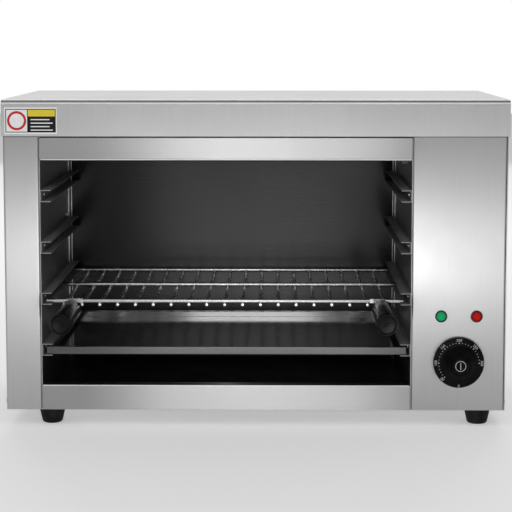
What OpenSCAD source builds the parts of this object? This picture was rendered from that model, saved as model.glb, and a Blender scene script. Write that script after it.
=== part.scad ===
// Countertop salamander grill with an open front: a folded steel casing, a cavity with four pairs
// of guide channels, a pull-out wire rack and drip tray, one tubular element under the ceiling, and
// a control bay on the right with two lamps and a thermostat.
// Frame: millimetres, X to the right, Y to the back, Z up. The origin is on the table, under the
// middle of the whole object, handles and cable gland included.

/* [Casing] */
// Width over the top cover
body_w = 610; // [520:1:760]
// Depth of the casing, front to back
body_d = 330; // [270:1:420]
// Height from the table to the top
body_h = 400; // [396:1:520]
// Thickness of the casing sheet
casing_t = 1.2; // [0.8:0.1:1.6]
// Height of the top cover's front edge
fascia_h = 43.8; // [30:0.2:60]
// Outer radius of the top cover's front bend
bend_r = 6; // [4:0.5:10]
// Height of the top cover's side and back skirts
skirt_h = 18; // [14:1:26]
// Dark gap under the front edge of the top cover
seam = 1.8; // [1:0.1:3]
// Width of the left front post
post_w = 43; // [34:0.5:60]
// Width of the control panel
control_w = 114; // [104:0.5:150]
// Height of the header panel over the opening
header_h = 27; // [20:0.5:40]
// Height of the rail under the opening
rail_h = 30.6; // [24:0.2:44]
// Depth of the flanges folded back round the opening
return_d = 15; // [10:0.5:22]

/* [Cavity] */
// Thickness of the cavity sheet
liner_t = 0.8; // [0.6:0.1:1]
// Depth of the cavity behind the casing's front
cavity_d = 298; // [240:1:300]
// Height of the cavity ceiling over the header's lower edge
ceil_rise = 17.6; // [16:0.1:24]
// Height of the dark floor over the base plate
floor_rise = 8; // [4:0.5:14]
// Thickness of the insulation over the ceiling
blanket_t = 30; // [16:1:40]

/* [Guides, rack and tray] */
// Number of guide levels on each side
guide_levels = 4; // [4]
// Height of the lowest running surface over the table
guide_z = 89.3; // [80:0.1:100]
// Height from one level to the next
guide_pitch = 62.7; // [50:0.1:64]
// Width of a guide channel, from the wall inwards
guide_w = 12.4; // [9:0.1:16]
// Clear height inside a guide channel
guide_gap = 12.6; // [11:0.1:16]
// Level that holds the wire rack, from the bottom
rack_level = 2; // [2:1:4]
// Side gap between the rack and the guide channels
slide_gap = 5; // [2:0.1:7]
// How far the rack rests to the left of the middle
rack_shift = 2; // [0:0.1:2]
// Side gap between the drip tray and the guide channels
tray_side = 3.6; // [1:0.1:7]
// Diameter of the rack's three cross bars
bar_dia = 5; // [4:0.1:7]
// Diameter of the rack's depth wires
wire_dia = 4.5; // [3:0.1:6]
// Number of depth wires
wire_count = 19; // [7:2:19]
// Spacing of the depth wires
wire_pitch = 21.8; // [14:0.1:22]
// Height of the drip tray's walls
tray_h = 9.5; // [6:0.1:10]
// Gap between the drip tray and the back of the cavity
tray_gap = 18; // [8:1:60]
// Thickness of the tray sheet
tray_t = 1; // [0.8:0.1:1.5]

/* [Rack handles] */
// How far the handles reach in front of the casing
handle_reach = 90; // [60:1:120]
// Diameter of a handle at its front end
handle_dia = 26; // [20:0.5:30]
// Distance between the two handles
handle_span = 378; // [300:1:392]
// Diameter of the screw in a handle
handle_screw = 5; // [4:0.5:6]

/* [Controls] */
// Diameter of the knob's skirt
knob_dia = 61.5; // [44:0.5:70]
// Length of the knob, from the panel outwards
knob_len = 28; // [18:0.5:34]
// Height of the knob's centre over the table
knob_z = 82.4; // [72:0.1:90]
// Diameter of the thermostat shaft
shaft_dia = 6; // [4:0.5:8]
// Diameter of a lamp's bezel
lamp_dia = 14.6; // [12:0.2:18]
// Distance between the lamps
lamp_span = 42.8; // [30:0.2:60]
// Height of the lamps over the table
lamp_z = 138.4; // [128:0.2:170]

/* [Element, feet and gland] */
// Diameter of the heating element's tube
element_dia = 8; // [6.5:0.1:9]
// Radius of the element's hairpin bends
element_r = 30; // [22:1:34]
// Height of the feet
foot_h = 22.5; // [18:0.5:30]
// Diameter of a foot at its top
foot_dia = 31.5; // [24:0.5:38]
// Distance from the casing's left edge to a left foot's centre
foot_left = 53; // [51:0.5:70]
// Distance from the casing's right edge to a right foot's centre
foot_right = 31; // [26:0.5:70]
// Distance from the casing's front or back to a foot's centre
foot_inset = 35; // [28:0.5:46]
// How far the cable gland stands out of the back
gland_reach = 20; // [14:0.5:30]

/* [Hidden] */
$fn = 48;

over = 1;             // overrun of every cutting shape
fit = 0.3;            // gap between lapped casing sheets
panel_gap = 1.2;      // gap at each end of the header and the rail
sheet_bend = 2.5;     // outer radius of the small folds
play = 0.05;          // radial running clearance of the turning shaft
sink = 0.35;          // how far welded wires sink into the bars
flange = 15;          // width of the hidden fixing flanges
foot_clear = 6;       // height over the base plate that the foot screws need

// Casing planes
front_y = handle_reach - (handle_reach + body_d + gland_reach) / 2;
back_y = front_y + body_d;
half_w = body_w / 2;
side_x = half_w - casing_t - fit;
post_y = front_y + casing_t + fit;
rear_y = back_y - casing_t - fit;
deck_z = body_h - casing_t;
fascia_z = body_h - fascia_h;
header_top = fascia_z - seam;
header_bot = header_top - header_h;
rail_top = foot_h + rail_h;
base_top = foot_h + casing_t;

// Opening and cavity
open_l = -side_x + post_w;
open_r = side_x - control_w;
cav_l = open_l + liner_t;
cav_r = open_r - liner_t;
cav_mid = (cav_l + cav_r) / 2;
cav_back = front_y + cavity_d;
floor_z = base_top + floor_rise;
ceil_z = header_bot + ceil_rise;
liner_rise = 11;      // height of the cavity walls over the ceiling sheet
liner_top = ceil_z + liner_rise;
liner_front = post_y + sheet_bend;
liner_lip = 12;       // width of the lips that join the cavity walls to the back

// Guide channels
guide_t = 1;
guide_setback = 4;
guide_end_gap = 1;
guide_front = post_y + guide_setback;
guide_back = cav_back - guide_end_gap;
rivet_z = guide_gap / 2;
function level_z(i) = guide_z + (i - 1) * guide_pitch;

// Rack and tray
rack_l = cav_l + guide_t + slide_gap - rack_shift;
rack_r = cav_r - guide_t - slide_gap - rack_shift;
tray_l = cav_l + guide_t + tray_side;
tray_r = cav_r - guide_t - tray_side;
bar_r = bar_dia / 2;
wire_r = wire_dia / 2;
bar_z = level_z(rack_level) + bar_r;
bar_setback = 16;     // from the casing's front to the front bar
bar_back_gap = 11;    // from the back bar to the cavity's back
bar_y0 = front_y + bar_setback;
bar_y2 = cav_back - bar_back_gap;
bar_ys = [bar_y0, (bar_y0 + bar_y2) / 2, bar_y2];
rack_mid = (rack_l + rack_r) / 2;
wire_z = bar_z - bar_r - wire_r + sink;
bracket_t = 2;
bracket_y = bar_y0 - bar_r - bracket_t;
handle_r = handle_dia / 2;
handle_drop = 0.9;    // from the top of the front bar to the top of a handle
handle_z = bar_z + bar_r - handle_r - handle_drop;
handle_tip = front_y - handle_reach;
tray_setback = 10;
tray_front = front_y + tray_setback;

// Controls
panel_x = (open_r + side_x) / 2;
knob_gap = 1;
skirt_t = 7;
thermo_d = 24;
lamp_r = lamp_dia / 2;
bezel_lap = 1;        // how far a lamp's bezel covers the panel round its hole

// Element
element_drop = 18;    // from the ceiling to the element's middle
element_gap = 12;     // from the left wall to the element's left end
element_turn = 66;    // from the right wall to the middle hairpin
run_setback = 46;     // from the casing's front to the first run
tail_r = 20;          // bend radius of the two tails
element_z = ceil_z - element_drop;
element_rr = element_dia / 2;
element_l = cav_l + element_r + element_gap;
element_u = cav_r - element_r - element_turn;
run_ys = [for (i = [0:3]) front_y + run_setback + i * 2 * element_r];
tail_y = [run_ys[0] + 2 * tail_r, run_ys[3] - 2 * tail_r];
shield_gap = 14;      // from the cavity's right wall to the heat shield
shield_x = open_r + shield_gap;

// Feet
foot_xs = [-half_w + foot_left, half_w - foot_right];
foot_ys = [front_y + foot_inset, back_y - foot_inset];
foot_at = [for (y = foot_ys) for (x = foot_xs) [x, y]];

// ---- shapes used by several sub-parts ----

// Box from its low corner to its high corner
module block(low, high) {
  translate(low)
    cube(high - low);
}

// Rectangle from its low corner to its high corner
module rect(low, high) {
  translate(low)
    square(high - low);
}

// Extrudes a side-view outline, drawn as [y, z], from x0 to x1
module along_x(x0, x1) {
  translate([x0, 0, 0])
    rotate([90, 0, 90])
      linear_extrude(x1 - x0)
        children();
}

// Cylinder that starts at a point and runs towards the back
module rod_y(at, r, len) {
  translate(at)
    rotate([-90, 0, 0])
      cylinder(r = r, h = len);
}

// Cylinder that starts at a point and runs to the right
module rod_x(at, r, len) {
  translate(at)
    rotate([0, 90, 0])
      cylinder(r = r, h = len);
}

// Quarter of a folded corner; turn 0 is the right and upper quarter
module fold(at, r, t, turn) {
  translate(at)
    rotate(turn)
      intersection() {
        difference() {
          circle(r);
          circle(r - t);
        }
        square(r);
      }
}

// Solid tube that follows a list of points
function unit(v) = v / norm(v);
function ring(p, d, r, n) =
  let (
    side = abs(d[2]) < 0.9 ? unit(cross(d, [0, 0, 1])) : [1, 0, 0],
    up = cross(side, d)
  )
  [for (k = [0:n - 1]) p + r * (cos(360 * k / n) * side + sin(360 * k / n) * up)];
function heading(pts, i) =
  unit(pts[min(i + 1, len(pts) - 1)] - pts[max(i - 1, 0)]);
module tube(pts, r, n = 8) {
  last = len(pts) - 1;
  rings = [for (i = [0:last]) each ring(pts[i], heading(pts, i), r, n)];
  sides = [for (i = [0:last - 1]) for (k = [0:n - 1])
    [i * n + k, i * n + (k + 1) % n, (i + 1) * n + (k + 1) % n, (i + 1) * n + k]];
  start = [[for (k = [n - 1:-1:0]) k]];
  end = [[for (k = [0:n - 1]) last * n + k]];
  polyhedron(points = rings, faces = concat(start, sides, end));
}

// Smooth arc of points in a plane, from one point to another round a corner
function bow(a, corner, b, n = 6) =
  [for (i = [0:n]) let (s = i / n) (1 - s) * (1 - s) * a + 2 * s * (1 - s) * corner + s * s * b];

// ---- casing ----

module cover_end() {
  rect([front_y + bend_r, body_h - skirt_h], [back_y, body_h]);
  rect([front_y, body_h - skirt_h], [front_y + bend_r, body_h - bend_r]);
  translate([front_y + bend_r, body_h - bend_r])
    rotate(90)
      intersection() {
        circle(bend_r);
        square(bend_r);
      }
}

module top_cover() {
  color("lightgray") {
    along_x(-half_w, half_w) {
      rect([front_y + bend_r, deck_z], [back_y, body_h]);
      fold([front_y + bend_r, body_h - bend_r], bend_r, casing_t, 90);
      rect([front_y, fascia_z], [front_y + casing_t, body_h - bend_r]);
      rect([back_y - casing_t, body_h - skirt_h], [back_y, body_h]);
    }
    along_x(-half_w, -half_w + casing_t)
      cover_end();
    along_x(half_w - casing_t, half_w)
      cover_end();
  }
}

// Clear space that the base plate fills inside the side panels and posts
module base_space() {
  block([-side_x + casing_t, post_y + casing_t, foot_h - over],
        [side_x - casing_t, rear_y - casing_t + over, base_top]);
}

// Clear space behind the top cover's front bend
module bend_space() {
  block([-side_x - over, post_y - over, body_h - bend_r],
        [side_x + over, front_y + bend_r, deck_z + over]);
}

module left_side_panel() {
  color("silver")
    difference() {
      translate([0, 0, foot_h])
        linear_extrude(deck_z - foot_h) {
          rect([-side_x, post_y + sheet_bend], [-side_x + casing_t, rear_y - casing_t]);
          fold([-side_x + sheet_bend, post_y + sheet_bend], sheet_bend, casing_t, 180);
          rect([-side_x + sheet_bend, post_y], [open_l - sheet_bend, post_y + casing_t]);
          fold([open_l - sheet_bend, post_y + sheet_bend], sheet_bend, casing_t, 270);
          rect([open_l - casing_t, post_y + sheet_bend], [open_l, post_y + return_d]);
          rect([-side_x + casing_t, rear_y - 2 * casing_t], [-side_x + flange, rear_y - casing_t]);
        }
      base_space();
      bend_space();
      side_slots(-side_x - over, base_top + slot_low);
    }
}

module right_side_panel() {
  color("silver")
    difference() {
      translate([0, 0, foot_h])
        linear_extrude(deck_z - foot_h) {
          rect([side_x - casing_t, post_y], [side_x, rear_y - casing_t]);
          rect([side_x - flange, rear_y - 2 * casing_t], [side_x - casing_t, rear_y - casing_t]);
        }
      base_space();
      bend_space();
      side_slots(side_x - casing_t - over, base_top + slot_low);
      side_slots(side_x - casing_t - over, header_bot - slot_drop);
    }
}

// Row of cooling slots in a side panel
slot_len = 70;
slot_h = 4;
slot_pitch = 11;
slot_count = 5;
slot_inset = 60;
slot_low = 45;
slot_drop = 60;
module side_slots(x, z) {
  for (i = [0:slot_count - 1])
    block([x, rear_y - slot_inset - slot_len, z + i * slot_pitch],
          [x + casing_t + 2 * over, rear_y - slot_inset, z + i * slot_pitch + slot_h]);
}

module control_panel() {
  right = side_x - casing_t;
  shaft_gap = 2;
  color("silver")
    difference() {
      translate([0, 0, foot_h])
        linear_extrude(deck_z - foot_h) {
          rect([open_r, post_y + sheet_bend], [open_r + casing_t, post_y + return_d]);
          fold([open_r + sheet_bend, post_y + sheet_bend], sheet_bend, casing_t, 180);
          rect([open_r + sheet_bend, post_y], [right - sheet_bend, post_y + casing_t]);
          fold([right - sheet_bend, post_y + sheet_bend], sheet_bend, casing_t, 270);
          rect([right - casing_t, post_y + sheet_bend], [right, post_y + return_d]);
        }
      base_space();
      bend_space();
      rod_y([panel_x, post_y - over, knob_z], shaft_dia / 2 + shaft_gap, casing_t + 2 * over);
      for (s = [-1, 1])
        rod_y([panel_x + s * lamp_span / 2, post_y - over, lamp_z], lamp_r - bezel_lap,
              casing_t + 2 * over);
    }
}

module header_panel() {
  top_lip = 12;
  color("gainsboro")
    along_x(open_l + panel_gap, open_r - panel_gap) {
      rect([post_y, header_bot + sheet_bend], [post_y + casing_t, header_top]);
      fold([post_y + sheet_bend, header_bot + sheet_bend], sheet_bend, casing_t, 180);
      rect([post_y + sheet_bend, header_bot], [post_y + return_d, header_bot + casing_t]);
      rect([post_y + casing_t, header_top - casing_t], [post_y + top_lip, header_top]);
    }
}

module bottom_rail() {
  color("gainsboro")
    along_x(open_l + panel_gap, open_r - panel_gap) {
      rect([post_y, foot_h], [post_y + casing_t, rail_top - sheet_bend]);
      fold([post_y + sheet_bend, rail_top - sheet_bend], sheet_bend, casing_t, 90);
      rect([post_y + sheet_bend, rail_top - casing_t], [post_y + return_d, rail_top]);
      rect([post_y + casing_t, base_top], [post_y + return_d, base_top + casing_t]);
    }
}

vent_w = 4;
vent_pitch = 11;

// Row of upright vents round the middle x, from z up
module rear_vents(x, z, count, height) {
  for (i = [0:count - 1])
    block([x + (i - count / 2) * vent_pitch, rear_y - casing_t - over, z],
          [x + (i - count / 2) * vent_pitch + vent_w, rear_y + over, z + height]);
}

module rear_panel() {
  top_gap = 34;
  color("silver")
    difference() {
      block([-side_x, rear_y - casing_t, foot_h], [side_x, rear_y, deck_z]);
      rear_vents(cav_mid, body_h - skirt_h - top_gap, 20, 24);
      rear_vents(panel_x, lamp_z, 7, 40);
      rod_y([gland_x, rear_y - casing_t - over, gland_z], gland_r + gland_slack,
            casing_t + 2 * over);
    }
}

module base_plate() {
  left = -side_x + casing_t;
  right = side_x - casing_t;
  back = rear_y - casing_t;
  lip_z = base_top + flange;
  lip_gap = 2;
  side_from = post_y + return_d + lip_gap;
  side_to = back - 2 * casing_t;
  color("gray")
    difference() {
      union() {
        block([left, post_y + casing_t, foot_h], [right, back, base_top]);
        block([left, side_from, foot_h], [left + casing_t, side_to, lip_z]);
        block([right - casing_t, side_from, foot_h], [right, side_to, lip_z]);
        block([-side_x + flange + lip_gap, back - casing_t, foot_h],
              [side_x - flange - lip_gap, back, lip_z]);
      }
      for (p = foot_at)
        translate([p[0], p[1], foot_h - over])
          cylinder(r = foot_screw_r + foot_slack, h = casing_t + 2 * over);
    }
}

// ---- cavity ----

module left_liner() {
  color("darkgray")
    difference() {
      translate([0, 0, base_top])
        linear_extrude(liner_top - base_top) {
          rect([open_l, liner_front], [cav_l, cav_back]);
          rect([open_l - liner_lip, cav_back - liner_t], [open_l, cav_back]);
        }
      guide_holes(open_l - over);
      rod_x([open_l - over, liner_screw_y, liner_screw_z], rivet_r, liner_t + 2 * over);
    }
}

module right_liner() {
  color("darkgray")
    difference() {
      translate([0, 0, base_top])
        linear_extrude(liner_top - base_top) {
          rect([cav_r, liner_front], [open_r, cav_back]);
          rect([open_r, cav_back - liner_t], [open_r + liner_lip, cav_back]);
        }
      guide_holes(cav_r - over);
      for (y = tail_y)
        rod_x([cav_r - over, y, element_z], element_rr + gland_sleeve, liner_t + 2 * over);
      rod_x([cav_r - over, bulb_y, bulb_z], 1.5 * capillary_r, liner_t + 2 * over);
    }
}

module back_liner() {
  color("darkgray")
    block([open_l - liner_lip, cav_back, base_top + foot_clear],
          [open_r + liner_lip, cav_back + liner_t, liner_top]);
}

// Ceiling sheet with a front lip behind the header and upturned sides
module ceiling_reflector() {
  lap = 4;
  end_gap = 0.5;
  side_h = 9;
  lip_y = post_y + return_d - lap;
  color("darkgray") {
    block([cav_l, lip_y, ceil_z], [cav_r, cav_back, ceil_z + liner_t]);
    block([cav_l + end_gap, lip_y, header_bot + casing_t],
          [cav_r - end_gap, lip_y + liner_t, ceil_z]);
    for (x = [cav_l, cav_r - liner_t])
      block([x, lip_y + lap, ceil_z], [x + liner_t, cav_back, ceil_z + side_h]);
  }
}

module floor_liner() {
  rail_gap = 1;
  front = post_y + return_d + rail_gap;
  color([0.08, 0.08, 0.08]) {
    block([cav_l, front, floor_z - liner_t], [cav_r, cav_back, floor_z]);
    for (x = [cav_l, cav_r - liner_t])
      block([x, front, base_top], [x + liner_t, cav_back, floor_z]);
  }
}

module heat_shield() {
  post_gap = 10;
  bulb_gap = 8;
  under_element = 20;
  front = post_y + return_d + post_gap;
  back = bulb_y - bulb_gap;
  color("silver") {
    block([shield_x, front, base_top], [shield_x + liner_t, back, element_z - under_element]);
    block([shield_x, front, base_top], [shield_x + flange, back, base_top + liner_t]);
  }
}

blanket_gap = 2;
module top_insulation() {
  thick = min(blanket_t, deck_z - ceil_z - blanket_gap);
  color("lightyellow")
    block([cav_l + blanket_gap, post_y + return_d + blanket_gap, ceil_z + liner_t],
          [cav_r - blanket_gap, cav_back, ceil_z + liner_t + thick]);
}

module rear_insulation() {
  color("lightyellow")
    block([open_l, cav_back + liner_t, base_top + foot_clear],
          [open_r, rear_y - 2 * casing_t - blanket_gap, ceil_z]);
}

// Stands clear of the flanges on its left and of the screw and rivet tails on its right
module side_insulation() {
  tail_gap = 8;
  color("lightyellow")
    block([-side_x + 2 * casing_t + blanket_gap, post_y + return_d + blanket_gap,
           base_top + flange + blanket_gap],
          [open_l - tail_gap, cav_back - 2 * blanket_gap, ceil_z]);
}

// ---- feet ----

foot_screw_r = 2;
foot_slack = 0.1;
foot_head_r = 4.2;
foot_head_h = 2.6;
foot_head_z = 8;
foot_nut_r = 4;
foot_nut_h = 3;
foot_band = 6;

module foot(i) {
  r = foot_dia / 2;
  tip = r * 0.76;
  bore = foot_screw_r + foot_slack;
  well = foot_head_r + 0.8;
  color([0.1, 0.1, 0.1])
    translate([foot_at[i - 1][0], foot_at[i - 1][1], 0])
      rotate_extrude()
        polygon([
          [bore, foot_h], [r, foot_h], [r, foot_h - foot_band], [tip + 0.8, 2], [tip - 0.6, 0.5],
          [tip - 2.4, 0], [well, 0], [well, foot_head_z], [bore, foot_head_z]
        ]);
}

module foot_screws() {
  color("silver")
    for (p = foot_at)
      translate([p[0], p[1], 0]) {
        translate([0, 0, foot_head_z - foot_head_h]) {
          cylinder(r = foot_head_r, h = foot_head_h);
          cylinder(r = foot_screw_r, h = base_top + foot_nut_h + 1 - foot_head_z + foot_head_h);
        }
        translate([0, 0, base_top])
          cylinder(r = foot_nut_r, h = foot_nut_h, $fn = 6);
      }
}

// ---- guide channels ----

rivet_r = 1.5;
rivet_head_r = 3;
rivet_inset = 26;
rivet_ys = [guide_front + rivet_inset, guide_back - rivet_inset];

// Channel on the left wall, with its running surface at height z
module channel(z) {
  low = z - guide_t;
  high = z + guide_gap + guide_t;
  difference() {
    union() {
      block([cav_l, guide_front, low], [cav_l + guide_t, guide_back, high]);
      block([cav_l, guide_front, low], [cav_l + guide_w, guide_back, z]);
      block([cav_l, guide_front, high - guide_t], [cav_l + guide_w, guide_back, high]);
    }
    for (y = rivet_ys)
      rod_x([cav_l - over, y, z + rivet_z], rivet_r, guide_t + 2 * over);
  }
}

module left_guide(i) {
  color("silver")
    channel(level_z(i));
}

module right_guide(i) {
  color("silver")
    translate([2 * cav_mid, 0, 0])
      mirror([1, 0, 0])
        channel(level_z(i));
}

// Holes through a liner for the rivets of every level
module guide_holes(x) {
  for (i = [1:guide_levels])
    for (y = rivet_ys)
      rod_x([x, y, level_z(i) + rivet_z], rivet_r, liner_t + 2 * over);
}

// Rivet with its head inside a left channel and its tail behind the liner
module rivet(y, z) {
  tail = 1;
  tail_lap = 0.7;
  head = 1.2;
  rod_x([cav_l + guide_t, y, z], rivet_head_r, head);
  rod_x([open_l - tail, y, z], rivet_r, liner_t + guide_t + tail);
  rod_x([open_l - tail, y, z], rivet_r + tail_lap, tail);
}

module guide_rivets() {
  color("gainsboro")
    for (i = [1:guide_levels])
      for (y = rivet_ys) {
        rivet(y, level_z(i) + rivet_z);
        translate([2 * cav_mid, 0, 0])
          mirror([1, 0, 0])
            rivet(y, level_z(i) + rivet_z);
      }
}

// ---- rack ----

module rack_bars() {
  color("gainsboro")
    for (y = bar_ys)
      rod_x([rack_l, y, bar_z], bar_r, rack_r - rack_l);
}

// Depth wires, each notched where it is welded to the bars
module rack_wires() {
  first = rack_mid - (wire_count - 1) / 2 * wire_pitch;
  start = bar_y0 - bar_r;
  color("gainsboro")
    difference() {
      for (i = [0:wire_count - 1])
        rod_y([first + i * wire_pitch, start, wire_z], wire_r, bar_y2 + bar_r - start);
      for (y = bar_ys)
        rod_x([rack_l - over, y, bar_z], bar_r, rack_r - rack_l + 2 * over);
    }
}

bracket_half = 5;
bracket_in = 14;
bracket_low = 5;
bracket_ear = 5;
bracket_high = 0.8;
handle_hole = 18;

// Plate welded to the front bar; side is 1 where the rack's middle lies to the right
module bracket(x, side) {
  top = bar_z + bar_r + bracket_high;
  back = bracket_y + bracket_t;
  inner = x + side * bracket_in;
  color("gainsboro")
    difference() {
      union() {
        block([x - bracket_half, bracket_y, handle_z - bracket_low],
              [x + bracket_half, back, top]);
        block([min(x, inner), bracket_y, top - bracket_ear], [max(x, inner), back, top]);
      }
      rod_y([x, bracket_y - over, handle_z], handle_screw / 2, bracket_t + 2 * over);
    }
}

// Grip with a rimmed front end and a blind screw hole in its back end
module grip(x) {
  len = bracket_y - handle_tip;
  rim = 1.5;
  taper = 0.8;
  dish = 1.4;
  color([0.07, 0.07, 0.07])
    translate([x, bracket_y, handle_z])
      rotate([90, 0, 0])
        rotate_extrude()
          polygon([
            [handle_screw / 2, 0], [handle_r - taper - 1, 0], [handle_r - taper, 1],
            [handle_r, len - 2], [handle_r - 0.8, len], [handle_r - 0.8 - rim, len],
            [handle_r - dish - rim, len - dish], [0, len - dish], [0, handle_hole],
            [handle_screw / 2, handle_hole]
          ]);
}

handle_l = cav_mid - handle_span / 2;
handle_rx = cav_mid + handle_span / 2;

module left_handle() {
  grip(handle_l);
}

module right_handle() {
  grip(handle_rx);
}

module left_handle_bracket() {
  bracket(handle_l, 1);
}

module right_handle_bracket() {
  bracket(handle_rx, -1);
}

module handle_bolts() {
  head_r = handle_screw * 0.8;
  head_h = 2.4;
  len = handle_hole - 2;
  color("gainsboro")
    for (x = [handle_l, handle_rx]) {
      rod_y([x, bracket_y - len, handle_z], handle_screw / 2, len + bracket_t);
      rod_y([x, bracket_y + bracket_t, handle_z], head_r, head_h);
    }
}

// ---- drip tray ----

module drip_tray() {
  low = level_z(1);
  back = cav_back - tray_gap;
  color("gainsboro") {
    difference() {
      block([tray_l, tray_front, low], [tray_r, back, low + tray_h]);
      block([tray_l + tray_t, tray_front + tray_t, low + tray_t],
            [tray_r - tray_t, back - tray_t, low + tray_h + over]);
    }
    block([tray_l, tray_front, low], [tray_r, tray_front + 2 * tray_t, low + tray_h]);
  }
}

// ---- heating element ----

// Tube bend in the level of the element: centre, start angle and sweep
module tube_bend(at, r, from, sweep) {
  translate([at[0], at[1], element_z])
    rotate([0, 0, from])
      rotate_extrude(angle = sweep)
        translate([r, 0])
          circle(element_rr);
}

// Four runs joined by hairpins, with two tails brought together at the right wall
module heating_element() {
  wall_gap = 14;
  stub = 26;
  tail_x = cav_r - tail_r - wall_gap;
  end_x = open_r + stub;
  color("dimgray") {
    for (k = [0, 3])
      rod_x([element_l, run_ys[k], element_z], element_rr, tail_x - element_l - tail_r);
    for (k = [1, 2])
      rod_x([element_l, run_ys[k], element_z], element_rr, element_u - element_l);
    for (k = [0, 2])
      tube_bend([element_l, run_ys[k] + element_r], element_r, 90, 180);
    tube_bend([element_u, run_ys[1] + element_r], element_r, -90, 180);
    tube_bend([tail_x - tail_r, run_ys[0] + tail_r], tail_r, -90, 90);
    tube_bend([tail_x + tail_r, tail_y[0] - tail_r], tail_r, 90, 90);
    tube_bend([tail_x - tail_r, run_ys[3] - tail_r], tail_r, 0, 90);
    tube_bend([tail_x + tail_r, tail_y[1] + tail_r], tail_r, 180, 90);
    for (y = tail_y)
      rod_x([tail_x + tail_r, y, element_z], element_rr, end_x - tail_x - tail_r);
  }
}

gland_sleeve = 1;
module element_glands() {
  hex = 5;
  outer = 5;
  inner = 6;
  color("gainsboro")
    for (y = tail_y)
      difference() {
        union() {
          translate([open_r, y, element_z])
            rotate([0, 90, 0])
              cylinder(r = element_rr + hex, h = outer, $fn = 6);
          translate([cav_r - inner, y, element_z])
            rotate([0, 90, 0])
              cylinder(r = element_rr + hex + 1, h = inner, $fn = 6);
          rod_x([cav_r, y, element_z], element_rr + gland_sleeve, liner_t);
        }
        rod_x([cav_r - inner - over, y, element_z], element_rr + play,
              inner + liner_t + outer + 2 * over);
      }
}

// Strips that hang from the ceiling, with open notches that snap over the runs
module element_hangers() {
  strip_t = 1.5;
  snap = 1.5;
  end = 12;
  from_l = 30;
  from_r = 40;
  front = run_ys[0] - end;
  back = run_ys[3] + end;
  color("gainsboro")
    for (x = [element_l + from_l, element_u - from_r])
      difference() {
        union() {
          block([x, front, element_z - snap], [x + strip_t, back, ceil_z]);
          block([x, front, ceil_z - strip_t], [x + end, back, ceil_z]);
        }
        for (y = run_ys)
          rod_x([x - over, y, element_z], element_rr + play, strip_t + 2 * over);
      }
}

// ---- controls ----

thermo_half = 19;
thermo_flange = 1.5;
shaft_in = 12;
tab_half = 3;
tab_t = 0.8;
tab_len = 8;
tab_x = 9;

module thermostat_body() {
  face = post_y + casing_t;
  core = thermo_half - 3;
  color("ivory")
    difference() {
      union() {
        block([panel_x - thermo_half, face, knob_z - thermo_half],
              [panel_x + thermo_half, face + thermo_flange, knob_z + thermo_half]);
        block([panel_x - core, face, knob_z - core], [panel_x + core, thermo_back, knob_z + core]);
        for (s = [-1, 1])
          block([panel_x + s * tab_x - tab_half, thermo_back, knob_z - tab_t / 2],
                [panel_x + s * tab_x + tab_half, thermo_back + tab_len, knob_z + tab_t / 2]);
      }
      rod_y([panel_x, face - over, knob_z], shaft_dia / 2 + play, shaft_in + over);
    }
}

// Shaft with a flat on its front end
module thermostat_shaft() {
  in_knob = 14;
  flat_len = 12;
  end_gap = 0.5;
  tip = post_y - knob_gap - in_knob;
  stop = post_y + casing_t + shaft_in - end_gap;
  color("silver")
    difference() {
      rod_y([panel_x, tip, knob_z], shaft_dia / 2, stop - tip);
      block([panel_x - shaft_dia, tip - over, knob_z + shaft_dia / 4],
            [panel_x + shaft_dia, tip + flat_len, knob_z + shaft_dia]);
    }
}

// Black knob with a wide skirt, a flared hub and a plain ring on its cap
module thermostat_knob() {
  r = knob_dia / 2;
  hub = r * 0.65;
  cap = r * 0.32;
  bore_len = 14.5;
  edge = 1.2;
  reach = knob_len - knob_gap;
  rise = reach - skirt_t - 1.6;
  color([0.06, 0.06, 0.06])
    translate([panel_x, post_y - knob_gap, knob_z])
      rotate([90, 0, 0])
        difference() {
          rotate_extrude()
            polygon(concat(
              [[0, 0], [r - edge / 2, 0], [r, edge / 2], [r, skirt_t - edge], [r - edge, skirt_t]],
              [[hub, skirt_t + 1]],
              [for (s = [0.1:0.1:0.9]) [hub + (cap - hub) * s,
                skirt_t + 1 + rise * (0.55 * (1 - sqrt(1 - s * s)) + 0.45 * s)]],
              [[cap, reach - edge], [cap - edge, reach], [0, reach]]));
          translate([0, 0, -over])
            cylinder(r = shaft_dia / 2 + play, h = bore_len + over);
        }
}

bezel_h = 1.5;
lens_play = 0.1;
lamp_len = 24;
lamp_tab = 7;
lens_r = lamp_r - 1.4 - lens_play;

// Lamp housing behind and in front of the panel
module lamp_body(x) {
  face = post_y - bezel_h;
  barrel = lamp_r - bezel_lap - play;
  nut_h = 3;
  bore = 8;
  spread = 3;
  color([0.1, 0.1, 0.1])
    difference() {
      union() {
        rod_y([x, face, lamp_z], lamp_r, bezel_h);
        rod_y([x, post_y, lamp_z], barrel, lamp_len);
        rod_y([x, post_y + casing_t, lamp_z], lamp_r + 1, nut_h);
        for (s = [-1, 1])
          block([x + s * spread - tab_t / 2, post_y + lamp_len, lamp_z - tab_half],
                [x + s * spread + tab_t / 2, post_y + lamp_len + lamp_tab, lamp_z + tab_half]);
      }
      rod_y([x, face - over, lamp_z], lens_r + lens_play, bore + over);
    }
}

// Domed lens that stands on the bottom of its housing's bore
module lamp_lens(x) {
  seat = 4;
  wall = 5.5;
  rise = 2.6;
  translate([x, post_y + seat, lamp_z])
    rotate([90, 0, 0])
      rotate_extrude()
        polygon(concat(
          [[0, 0], [lens_r, 0]],
          [for (a = [0:10:90]) [lens_r * cos(a), wall + rise * sin(a)]]));
}

module green_lamp_body() {
  lamp_body(panel_x - lamp_span / 2);
}

module green_lens() {
  color([0.05, 0.6, 0.3])
    lamp_lens(panel_x - lamp_span / 2);
}

module red_lamp_body() {
  lamp_body(panel_x + lamp_span / 2);
}

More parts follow.
